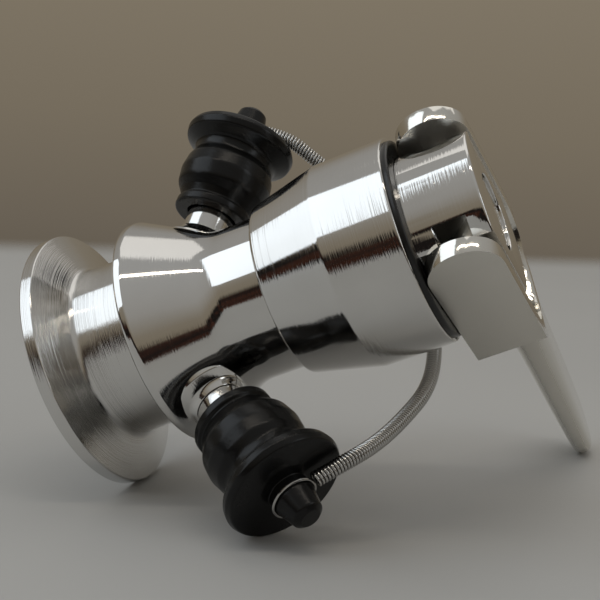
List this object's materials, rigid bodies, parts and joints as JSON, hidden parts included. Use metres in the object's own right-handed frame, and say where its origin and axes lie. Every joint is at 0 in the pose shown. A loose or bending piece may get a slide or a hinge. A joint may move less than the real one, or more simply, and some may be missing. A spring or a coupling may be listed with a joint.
{
  "type": "sanitary sampling valve",
  "caption": "Clamp-ferrule sampling valve with angled hose pieces, tethered rubber caps, union nut and a forked lever that lifts the sprung head.",
  "frame": {"origin": "centre of the clamp ferrule's sealing face", "axes": "+X along the valve's axis from the ferrule to the pull head, +Y along the lever's handle, +Z towards the upper hose piece"},
  "size_m": [0.0843, 0.1192, 0.0954],
  "materials": {
    "polished_steel": "polished stainless steel",
    "satin_steel": "satin stainless steel with polished edges",
    "spring_steel": "bright drawn stainless wire",
    "black_plastic": "glossy black plastic",
    "membrane_rubber": "matt black rubber",
    "cap_rubber": "semi-gloss black rubber"
  },
  "bodies": {
    "valve": {"clamp_ferrule": "polished_steel", "valve_body": "polished_steel", "upper_hose_piece": "polished_steel", "lower_hose_piece": "polished_steel", "membrane": "membrane_rubber", "membrane_gland": "polished_steel", "union_nut": "polished_steel", "wear_ring": "black_plastic", "spring_washer": "spring_steel", "return_spring": "spring_steel", "tether_spring": "spring_steel"},
    "head": {"stem": "polished_steel", "snap_ring": "spring_steel", "pull_head": "polished_steel"},
    "lever": {"lever": "satin_steel", "upper_lever_pin": "polished_steel", "lower_lever_pin": "polished_steel"},
    "upper_cap": {"upper_cap": "cap_rubber", "upper_tether_loop": "spring_steel"},
    "lower_cap": {"lower_cap": "cap_rubber", "lower_tether_loop": "spring_steel"}
  },
  "joints": [
    {"name": "head_lift", "type": "slide", "parent": "valve", "child": "head", "axis": [1, 0, 0], "range_m": [0, 0.004], "deforming": ["membrane", "return_spring"]},
    {"name": "lever_swing", "type": "hinge", "parent": "head", "child": "lever", "pos_m": [0.07765, 0, 0], "axis": [0, 0, -1], "range_deg": [0, 30]},
    {"name": "upper_cap_pull", "type": "slide", "parent": "valve", "child": "upper_cap", "axis": [0.4695, 0, 0.8829], "range_m": [0, 0.018], "deforming": ["tether_spring"]},
    {"name": "lower_cap_pull", "type": "slide", "parent": "valve", "child": "lower_cap", "axis": [0.4695, 0, -0.8829], "range_m": [0, 0.018], "deforming": ["tether_spring"]}
  ],
  "couplings": [
    {"joint": "head_lift", "follows": "lever_swing", "m_per_rad": 0.0075439}
  ]
}
